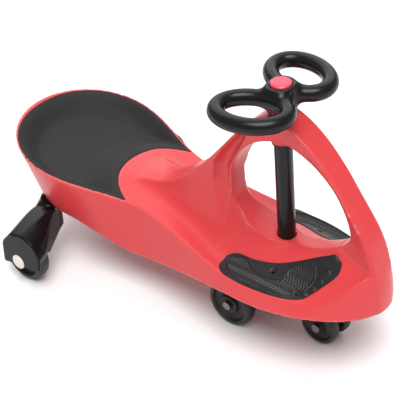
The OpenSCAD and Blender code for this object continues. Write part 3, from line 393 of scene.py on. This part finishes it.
def wallPlace(x, z):  # half width of the leaning side wall, its lower edge and the share of its height
    rim, base = shell["rim"], shell["base"]
    m = np.full(np.broadcast(x, z).shape, 0.5)
    for _ in range(7):  # the share settles in a few rounds
        back, fore = lerp(base["tailX"], rim["tailX"], m), lerp(base["noseX"], rim["noseX"], m)
        c = np.clip(ramp(x, back, fore), 0.0, 1.0)
        low = lerp(base["tailX"], base["noseX"], c)
        high = lerp(rim["tailX"], rim["noseX"], c)
        zLow = edgeHeight(low)
        m = np.clip(ramp(z, zLow, rimHeight(high)), -0.3, 1.5)
    return lerp(planHalf(low, base), planHalf(high, rim), m), zLow, m


def wallField(x, ay, z):  # outside of the side wall, with its round nose and tail, and below its lower edge
    s = shell
    half, low, m = wallPlace(x, z)
    e = 1.0  # slopes are taken over this far each way, and held where the skin is steep
    alongX = (wallPlace(x + e, z)[0] - wallPlace(x - e, z)[0]) / (2 * e)
    alongZ = (wallPlace(x, z + e)[0] - wallPlace(x, z - e)[0]) / (2 * e)
    middle = (ay - half) / np.sqrt(1.0 + np.minimum(alongX ** 2, 4.0) + alongZ ** 2)
    plan = {key: lerp(s["base"][key], s["rim"][key], m) for key in s["rim"]}  # as it is at this height
    bulge = s["bulge"] * np.clip(4.0 * m * (1.0 - m), 0.0, 1.0)
    nose = ovalGap(x - s["deckX"], ay, plan["noseX"] + bulge - s["deckX"], plan["deckHalf"], plan["power"])
    tail = ovalGap(plan["seatX"] - x, ay, plan["seatX"] - plan["tailX"], plan["seatHalf"], 2.0)
    return np.where(x > s["deckX"], nose, np.where(x < plan["seatX"], tail, middle)), low - z


def archOuter(x, z):  # crest of the rear leg, then the oval of the front leg
    a = arch
    crest = crestHeight(x) - a["tailDip"] * soft(-x / a["tailRun"])
    lean = (crestHeight(x + 1.0) - crestHeight(x - 1.0)) / 2.0
    rear = roundedMax((z - crest) / np.sqrt(1.0 + lean ** 2), a["tailX"] - x, a["tailRound"])
    shin = np.clip(ramp((x - axisX) / a["reach"], a["shinShare"], 1.0), 0.0, 1.0)
    power = lerp(a["power"], a["shinPower"], shin ** 2)
    front = ovalGap(x - axisX, z - a["chinZ"], a["reach"], a["topZ"] - a["chinZ"], power)
    return np.where(x < axisX, rear, front)


def archWindow(x, z):
    a = arch
    upper, rear = z > a["windowMid"], x < a["windowX"]
    tall = np.where(upper, a["windowTop"] - a["windowMid"], a["windowMid"] - a["windowLow"])
    power = np.where(upper, np.where(rear, *a["upperPowers"]), np.where(rear, *a["lowerPowers"]))
    return -ovalGap(np.abs(x - a["windowX"]), np.abs(z - a["windowMid"]), a["windowHalf"], tall, power)


# front leg: narrow face, sides that lean out to a crease, then in again to the window (t goes from 0 to 1)
def archHalf(x, z, t):
    a = arch
    crease = lerp(*a["creaseShare"], soft(ramp(z, *a["creaseZ"])))
    face = lerp(a["faceHalf"], a["creaseHalf"], t / crease)
    bevel = lerp(a["creaseHalf"], a["innerHalf"], ramp(t, crease, 1.0))
    front = lerp(a["crownHalf"], roundedMin(face, bevel, a["creaseRound"]), soft(ramp(z, *a["legZ"])))
    rear = lerp(a["crownHalf"], a["footHalf"], soft(ramp(z, *a["footZ"])))
    return lerp(rear, front, soft(ramp(x, axisX - a["crownRun"], axisX + a["crownRun"])))


def archField(x, ay, z, wall):
    a = arch
    outer, hole = archOuter(x, z), archWindow(x, z)
    fromOuter, fromHole = np.clip(-outer, 0.0, None), np.clip(-hole, 0.0, None)
    half = archHalf(x, z, fromOuter / np.maximum(fromOuter + fromHole, 1.0))
    wide = lerp(*a["grooveHalf"], np.clip(ramp(z, *a["grooveZ"]), 0.0, 1.0))
    groove = np.clip(1.0 - (wayDistance(x, z, a["groove"]) / wide) ** 2, 0.0, 1.0)  # valley with firm edges
    flank = (ay - half) * a["flankShare"] + a["grooveDepth"] * groove
    band = roundedMax(roundedMax(outer, hole, a["innerRound"]), flank, a["outerRound"])
    return np.maximum(band, wall - a["footIn"] * soft(ramp(z, *a["footInZ"])))


# upright posts of the rear brackets, each in a boss under the seat
post = {"x": -257.8, "y": 88.0, "r": 17.0, "bossR": 20.0, "topZ": 118.45, "bossIn": 6.0}


def bodyField(x, y, z):
    s, a = shell, arch
    ay = np.abs(y)
    e = 1.0  # slopes are taken over this far each way, and held where the skin is steep
    alongX = (bodyTop(x + e, ay) - bodyTop(x - e, ay)) / (2 * e)
    alongY = (bodyTop(x, ay + e) - bodyTop(x, np.abs(ay - e))) / (2 * e)
    top = (z - bodyTop(x, ay)) / np.sqrt(1.0 + np.minimum(alongX ** 2 + alongY ** 2, 40.0))
    side, below = wallField(x, ay, z)
    fillet = lerp(*a["fillets"], soft(ramp(x, *a["filletX"])))
    skin = roundedMin(roundedMax(top, side, s["rimRound"]), archField(x, ay, z, side), fillet)
    hollow = np.maximum(top + s["roof"], side + s["wall"])
    field = roundedMax(roundedMax(skin, -hollow, s["hollowRound"]), below, s["edgeRound"])
    r = np.hypot(x - axisX, y)
    boss = np.maximum(r - s["bossR"], np.maximum(s["bossZ"][0] - z, z - s["bossZ"][1]))
    stem = np.maximum(np.hypot(x - post["x"], ay - post["y"]) - post["bossR"], side)
    stem = np.maximum(stem, np.maximum(post["topZ"] - z, top + post["bossIn"]))
    field = np.minimum(np.minimum(field, boss), stem)
    field = np.maximum(field, np.where(r < a["flatR"], z - a["flatZ"], noCut))
    return np.maximum(field, np.where(z > a["boreZ"], a["boreR"], a["closeR"]) - r)


body = fieldMesh("bodyMoulding", bodyField, shell["low"], shell["high"], shell["steps"])
fit(body, "chassis", "red_shell", redPolypropylene, "body_shell")


# a closed slab over the body's top: rows of points, a skirt all round and the same rows underneath
def slabMesh(name, place, lift, slab):
    rows, columns = slab["rows"], slab["columns"]
    s, t = np.meshgrid(np.linspace(0, 1, rows + 1), np.linspace(0, 1, columns + 1), indexing="ij")
    x, y = place(s, t)
    skin = topHeight(x, np.abs(y))
    top = np.stack([x, y, skin + lift(x, y, s, t)], -1).reshape(-1, 3)
    low = np.stack([x, y, skin - slab["skirt"]], -1).reshape(-1, 3)
    n, size = columns + 1, (rows + 1) * (columns + 1)
    i, j = np.meshgrid(np.arange(rows), np.arange(columns), indexing="ij")
    a = (i * n + j).ravel()
    up = np.stack([a, a + n, a + n + 1, a + 1], 1)
    ring = (list(range(columns)) + [i * n + columns for i in range(rows)]
        + [rows * n + j for j in range(columns, 0, -1)] + [i * n for i in range(rows, 0, -1)])
    walls = [(p, q, q + size, p + size) for p, q in zip(ring, ring[1:] + ring[:1])]
    down = (up + size)[:, ::-1]
    return putMesh(name, np.concatenate([top, low]), up.tolist() + walls + down.tolist())


def seatPlace(s, t):
    rim, lip = shell["rim"], seatPad["lip"]
    v = 2.0 * t - 1.0
    x = lerp(rim["tailX"] + lip, tongueEdge(v), 1.0 - np.cos(np.pi / 2 * s))
    tail = roundEnd(ramp(x, rim["seatX"], rim["tailX"] + lip) / shell["endShare"], 2.0)
    return x, v * np.where(x < rim["seatX"], (rim["seatHalf"] - lip) * tail, planHalf(x, rim) - lip)


def seatLift(x, y, s, t):  # rolled edge all round
    side, end = padInset(x, np.abs(y))
    return -seatPad["roll"] * rolledEdge(np.minimum(side - seatPad["lip"], end) / seatPad["edge"])


pad = slabMesh("seatPadFoam", seatPlace, seatLift, seatPad)
fit(pad, "chassis", "soft_pad", charcoalFoam, "seat_pad")
print("body and seat ready")

# treaded foot pads: plan, rolled edge, a sole's outline with ribs in it, toes and screw wells
footPad = {
    "heelX": 111.0, "heelInY": 56.0, "toeInX": 302.0, "toeOutX": 272.0, "toeInY": 17.0, "toeBow": 9.0,
    "margin": 1.5, "turn": (0.2, 0.95), "heelWidth": 0.12, "heelShare": 0.13, "heelPower": 2.2,
    "toeWidth": 0.45, "toePower": 3.4, "rows": 190, "columns": 84,
    "rise": 2.0, "skirt": 3.0, "long": 180.0, "wide": 60.0, "edge": 3.0, "roll": 2.4,
    "line": 1.5, "lineHalf": 1.8, "soleEdge": 2.5, "soleSink": 0.6,
    "rib": 0.55, "pitch": 5.0, "zigzag": 7.0, "slant": 0.6,
    "sole": ((142, 59), (152, 61), (160, 66), (169, 71), (186, 73), (202, 71), (215, 66), (220, 59),
        (222, 48), (228, 41), (240, 35), (252, 34), (261, 38), (267, 48), (265, 60), (258, 72), (248, 80),
        (236, 86), (212, 92), (190, 95), (160, 96), (142, 94), (128, 88), (119, 78), (119, 69), (128, 61),
        (142, 59)),
    "bump": 2.3, "bumpPower": 2.4,  # each toe: middle, half length and half width
    "toes": ((284, 27, 9.5, 7.0), (284, 41, 6.0, 4.6), (278, 51, 5.6, 4.4), (272, 61, 5.4, 4.2),
        (264, 71, 5.0, 4.0)),
    "screws": ((251.4, 72.7), (197.8, 59.1)), "wellR": 6.0, "wellWall": (3.8, 5.4), "wellFloor": 0.4}


def footPlace(side):
    def place(s, t):
        f = footPad
        q = t if side > 0 else 1 - t  # from the inner edge to the outer
        toe = lerp(f["toeInX"], f["toeOutX"], q) + f["toeBow"] * 4.0 * q * (1.0 - q)
        x = lerp(f["heelX"], toe, s)
        inner = lerp(f["heelInY"], f["toeInY"], wave(ramp(s, *f["turn"])))
        heelEnd = roundEnd(np.maximum(0.0, 1.0 - s / f["heelShare"]), f["heelPower"])
        toeEnd = roundEnd(np.maximum(0.0, 2 * s - 1), f["toePower"])
        width = np.minimum(lerp(f["heelWidth"], 1.0, heelEnd), lerp(f["toeWidth"], 1.0, toeEnd))
        q = lerp(0.5, q, width)
        return x, side * lerp(inner, planHalf(x, shell["rim"]) - f["margin"], q)
    return place


def footLift(x, y, s, t):
    f = footPad
    ay = np.abs(y)
    inset = np.minimum(np.minimum(s, 1 - s) * f["long"], np.minimum(t, 1 - t) * f["wide"])
    lift = f["rise"] - f["roll"] * rolledEdge(inset / f["edge"])
    gap = wayDistance(x, ay, f["sole"])
    lift = lift + f["line"] * soft(1.0 - gap / f["lineHalf"])
    bend = f["zigzag"] * np.abs((ay / f["zigzag"]) % 2.0 - 1.0)
    ribs = f["rib"] * np.sin(2 * np.pi * (x + f["slant"] * bend) / f["pitch"])
    lift = lift + insideWay(x, ay, f["sole"]) * soft(gap / f["soleEdge"]) * (ribs - f["soleSink"])
    for toeX, toeY, long, wide in f["toes"]:
        lift = lift + f["bump"] * roundEnd(np.hypot((x - toeX) / long, (ay - toeY) / wide), f["bumpPower"])
    for screwX, screwY in f["screws"]:
        r = np.hypot(x - screwX, ay - screwY)
        lift = np.where(r < f["wellR"], lerp(f["wellFloor"], lift, soft(ramp(r, *f["wellWall"]))), lift)
    return lift


for side, name in ((-1, "right"), (1, "left")):
    tread = slabMesh(name + "FootPad", footPlace(side), footLift, footPad)
    fit(tread, "chassis", "black_plastic", blackVinyl, name + "_foot_pad")
print("foot pads ready")

# steering wheel: two oval loops swept back from a hub with a recess for its cap
grips = {
    "x": 170.0, "y": 57.5, "z": 421.0, "long": 53.0, "short": 37.0, "turn": 17.0, "tube": 12.6,
    "hubR": 21.5, "hubLow": 395.3, "hubTop": 441.0, "hubRound": 5.0, "web": 17.0,
    "recessR": 16.2, "recessZ": 437.0,
    "low": (102, -116, 391), "high": (252, 116, 446), "steps": (1.7, 2.2)}


def gripField(x, y, z):
    g = grips
    dx, dy = x - g["x"], np.abs(y) - g["y"]
    c, d = math.cos(math.radians(g["turn"])), math.sin(math.radians(g["turn"]))
    along, over = dx * c - dy * d, dx * d + dy * c
    k = np.maximum(np.hypot(along / g["long"], over / g["short"]), 0.05)  # 1 on the oval
    flat = (k - 1.0) * k / np.hypot(along / g["long"] ** 2, over / g["short"] ** 2).clip(1e-4)  # gap to it
    loops = np.hypot(flat, z - g["z"]) - g["tube"]
    r = np.hypot(x - axisX, y)
    ends = np.maximum(g["hubLow"] - z, z - g["hubTop"])
    hub = roundedMax(r - g["hubR"], ends, g["hubRound"])
    field = np.maximum(roundedMin(loops, hub, g["web"]), ends)
    return np.maximum(field, np.minimum(g["recessR"] - r, z - g["recessZ"]))


wheel = fieldMesh("steeringLoops", gripField, grips["low"], grips["high"], grips["steps"])
fit(wheel, "steering", "black_plastic", blackAbs, "steering_wheel")
print("steering wheel ready")


# corners of a profile, each with its radius, turned into small arcs
def roundedProfile(corners, steps=5):
    out = []
    for i, (r, h, radius) in enumerate(corners):
        here = np.array((r, h), float)
        if radius == 0:
            out.append(here)
            continue
        back, fore = (np.array(corners[k][:2], float) - here for k in (i - 1, (i + 1) % len(corners)))
        backLong, foreLong = np.linalg.norm(back), np.linalg.norm(fore)
        reach = min(radius, backLong * 0.48, foreLong * 0.48)  # short of the middle of each side
        a, b = here + back / backLong * reach, here + fore / foreLong * reach
        for t in np.linspace(0, 1, steps):
            out.append(a * (1 - t) ** 2 + here * 2 * t * (1 - t) + b * t * t)
    return np.array(out)


# a closed profile turned about an axis along the car's width ("Y") or upright ("Z")
def turnedMesh(name, corners, centre, axis, steps=96):
    profile = roundedProfile(corners)
    n = len(profile)
    angles = np.arange(steps) * 2 * np.pi / steps
    r, h = profile[:, 0][None, :], profile[:, 1][None, :]
    c, d = np.cos(angles)[:, None] * r, np.sin(angles)[:, None] * r
    h = np.broadcast_to(h, c.shape)
    points = np.stack([c, h, d] if axis == "Y" else [c, d, h], -1).reshape(-1, 3) + np.array(centre, float)
    faces = []
    for i in range(steps):
        here, there = i * n, (i + 1) % steps * n
        for k in range(n):
            after = (k + 1) % n
            faces.append((here + k, here + after, there + after, there + k))
    piece = putMesh(name, points, faces)
    if axis == "Y":
        piece.data.flip_normals()
    return piece


# collar under the crown, round the column: radius, height and rounding of each corner
collar = {"steps": 64,
    "corners": [(14.6, 345.0, 0.5), (18.5, 345.0, 1.5), (20.5, 362.0, 1.0), (14.6, 362.0, 0.5)]}
ring = turnedMesh("archCollar", collar["corners"], (axisX, 0.0, 0.0), "Z", collar["steps"])
fit(ring, "chassis", "red_shell", redPolypropylene, "body_shell")

# tyres with dished faces round a bearing: radius and width, then shares of the radius and of the width
tyres = {"sizes": {"main": (41.0, 24.0), "guide": (32.5, 18.0), "rear": (42.0, 26.0)}, "boreR": 11.0,
    "hub": 0.37, "dishIn": 0.42, "dishOut": 0.72, "rim": 0.79, "dish": 0.34, "shoulder": 0.16, "tread": 0.24}
for kind, (r, w) in tyres["sizes"].items():
    h = w / 2
    sunk = h - w * tyres["dish"]
    half = [(tyres["boreR"], h, 0.0), (r * tyres["hub"], h, 1.5), (r * tyres["dishIn"], sunk, 2.5),
        (r * tyres["dishOut"], sunk, 3.5), (r * tyres["rim"], h, 2.0), (r - w * tyres["shoulder"], h, 4.0),
        (r, h - w * tyres["tread"], 4.0)]
    corners = half + [(a, -b, c) for a, b, c in reversed(half)]
    for side in ("right", "left"):
        name = side + "_" + kind
        tyre = turnedMesh(name + "Tyre", corners, anchors[name + "_roll"], "Y")
        fit(tyre, name + "_spin", "tyre_black", blackPolyurethane, name + "_wheel")
print("wheels ready")

# rear bracket: a post, a hood that swells out to a cheek, and a stay inside the wheel
bracket = {
    "cheekY": 190.0, "cheek": 6.0, "cheekRound": 3.0, "corner": 22.0,  # cheek, rounded about its plate
    "plate": ((-262, 10), (-259, 60), (-246, 74), (-228, 79), (-219, 76), (-213, 67), (-216, 48),
        (-222, 10), (-262, 10)),
    "floorX": -293.0, "floorZ": 25.2, "floorRise": 0.17,  # lower edge
    "stemTop": 88.0, "stemRound": 14.0, "swell": 0.62, "hoodShare": 0.9, "crown": 11.0,
    "crownZ": (60.0, 100.0),
    "front": (-241.0, 88.0), "frontTurn": (0.873, -0.49), "frontRound": 2.5, "frontZ": 55.0,  # flat face
    "postR": 17.6, "lean": (-3.4, 3.2), "leanZ": (112.0, 98.0), "postGap": 0.3, "postRound": 8.0,
    "innerY": 154.0, "wellR": 46.0,  # room for the wheel
    "stay": 6.0, "stayHalf": 13.0, "stayRise": 6.0,  # holds the axle's inner end
    "low": (-300, 60, 18), "high": (-170, 196, 124), "steps": (2.0, 2.6)}
rearX, _, rearZ = anchors["left_rear_roll"]


def bracketPost(x, y, z):  # below the body it leans out a little and is thicker
    b = bracket
    low = soft(ramp(z, *b["leanZ"]))
    r = np.hypot(x - post["x"] - b["lean"][0] * low, y - post["y"] - b["lean"][1] * low)
    return r - lerp(post["r"], b["postR"], low)


def bracketHood(x, y, z, shaft):
    b = bracket
    s = np.clip(ramp(y, post["y"], b["cheekY"]), 0.0, 1.0) ** b["swell"]
    gap = wayDistance(x, z, b["plate"])
    plate = np.where(insideWay(x, z, b["plate"]), -gap, gap) - b["corner"]
    stem = roundedMax(np.abs(x - post["x"]) - b["postR"], z - b["stemTop"], b["stemRound"])
    crown = b["crown"] * 4.0 * s * (1.0 - s) * np.clip(ramp(z, *b["crownZ"]), 0.0, 1.0)
    inboard = np.maximum(shaft, z - b["stemTop"])
    hood = np.where(y < post["y"], inboard, lerp(stem, plate, s) * b["hoodShare"] - crown)
    face = (x - b["front"][0]) * b["frontTurn"][0] + (y - b["front"][1]) * b["frontTurn"][1]
    hood = roundedMax(roundedMax(hood, face, b["frontRound"]), y - b["cheekY"], b["cheekRound"])
    return np.maximum(hood, b["floorZ"] + b["floorRise"] * (x - b["floorX"]) - z)


def bracketField(x, y, z):
    b = bracket
    shaft = bracketPost(x, y, z)
    hood = bracketHood(x, y, z, shaft)
    # room for the wheel inside, and nothing inboard of the cheek below the hood's front face
    across, around = np.abs(x - rearX), np.hypot(x - rearX, z - rearZ)
    inner = y - b["cheekY"] + b["cheek"]
    well = np.where(z > rearZ, around, across) - b["wellR"]
    well = np.maximum(well, np.maximum(b["innerY"] - y, inner))
    hood = np.maximum(np.maximum(hood, -well), -np.maximum(z - b["frontZ"], inner))
    stay = np.maximum(np.abs(y - b["innerY"] + b["stay"] / 2) - b["stay"] / 2,
        np.where(z > rearZ, across, around) - b["stayHalf"])
    stay = np.maximum(stay, z - b["frontZ"] - b["stayRise"])
    # the post goes up inside the body's wall
    wall, below = wallField(x, np.abs(y), z)
    shaft = np.maximum(shaft, np.where(below < 1.0, wall + shell["wall"] + b["postGap"], noCut))
    shaft = np.maximum(shaft, np.maximum(b["frontZ"] - z, z - post["topZ"]))
    return np.minimum(roundedMin(hood, shaft, b["postRound"]), stay)


for side, name in ((-1, "right"), (1, "left")):
    (lowX, lowY, lowZ), (highX, highY, highZ) = bracket["low"], bracket["high"]
    lowY, highY = sorted((side * lowY, side * highY))
    hood = fieldMesh(name + "Hood", lambda x, y, z: bracketField(x, y * side, z), (lowX, lowY, lowZ),
        (highX, highY, highZ), bracket["steps"])
    fit(hood, "chassis", "black_plastic", blackPolypropylene, name + "_bracket")
print("brackets ready")

# nodes whose own shape is right and that only need a finish
carried = {
    pinkAbs: ["wheel_cap"],
    creamNylon: ["right_axle_cap", "left_axle_cap"],
    blackAbs: ["upper_bush", "lower_bush", "steering_column", "truck"],
    blackenedSteel: ["foot_pad_screws", "right_main_bearing", "left_main_bearing", "right_guide_bearing",
        "left_guide_bearing", "right_rear_bearing", "left_rear_bearing"],
    platedSteel: ["seat_pad_clips", "tie_rod", "tie_nut", "bracket_screws"],
    dullSteel: ["main_axle", "guide_axle", "right_rear_axle", "left_rear_axle"]}
for finish, names in carried.items():
    for name in names:
        nodes[name].data.materials.clear()
        nodes[name].data.materials.append(finish)
print("carried nodes ready")

# pale seamless floor
floorHalf = 6000
corners = [(a * floorHalf, b * floorHalf, 0) for a, b in ((-1, -1), (1, -1), (1, 1), (-1, 1))]
floor = putMesh("studioFloor", corners, [(0, 1, 2, 3)])
floor.data.materials.append(whitePaper)

# the photograph's view: angles in degrees, places in metres, lens in millimetres
view = {"azimuth": 43.0735, "elevation": 36.3856, "roll": 4.8367, "target": (0.0031572, 0.0, 0.1597688),
    "distance": 2.3, "lens": 128.966, "sensor": 36.0}
az, el, roll = (math.radians(view[k]) for k in ("azimuth", "elevation", "roll"))
back = Vector((math.sin(az) * math.cos(el), -math.cos(az) * math.cos(el), math.sin(el)))
right = Vector((math.cos(az), math.sin(az), 0.0))
up = back.cross(right)
across = right * math.cos(roll) - up * math.sin(roll)
upright = right * math.sin(roll) + up * math.cos(roll)
eye = Vector(view["target"]) + back * view["distance"]
camera = bpy.data.objects.new("camera", bpy.data.cameras.new("camera"))
bpy.context.scene.collection.objects.link(camera)
camera.data.sensor_width = view["sensor"]
camera.data.lens = view["lens"]
camera.matrix_world = Matrix((
    (across.x, upright.x, back.x, eye.x), (across.y, upright.y, back.y, eye.y),
    (across.z, upright.z, back.z, eye.z), (0, 0, 0, 1)))
bpy.context.scene.camera = camera

# white sky and wide soft lights, so far away that they don't fall off: direction, strength, spread
studio = {"sky": 0.42, "suns": (
    ("key", (0.36, -0.36, 1.25), 2.65, 0.7),
    ("rim", (-0.6, 0.65, 0.8), 1.4, 1.2))}
world = bpy.data.worlds.new("studio")
bpy.context.scene.world = world
world.use_nodes = True
sky = world.node_tree.nodes["Background"]
sky.inputs["Color"].default_value = (1.0, 1.0, 1.0, 1.0)
sky.inputs["Strength"].default_value = studio["sky"]
for name, place, power, spread in studio["suns"]:
    lamp = bpy.data.objects.new(name, bpy.data.lights.new(name, "SUN"))
    lamp.data.energy = power
    lamp.data.angle = spread
    lamp.rotation_euler = (-Vector(place)).to_track_quat("-Z", "Y").to_euler()
    bpy.context.scene.collection.objects.link(lamp)
bpy.context.scene.view_settings.view_transform = "Standard"
print("camera and lights ready")
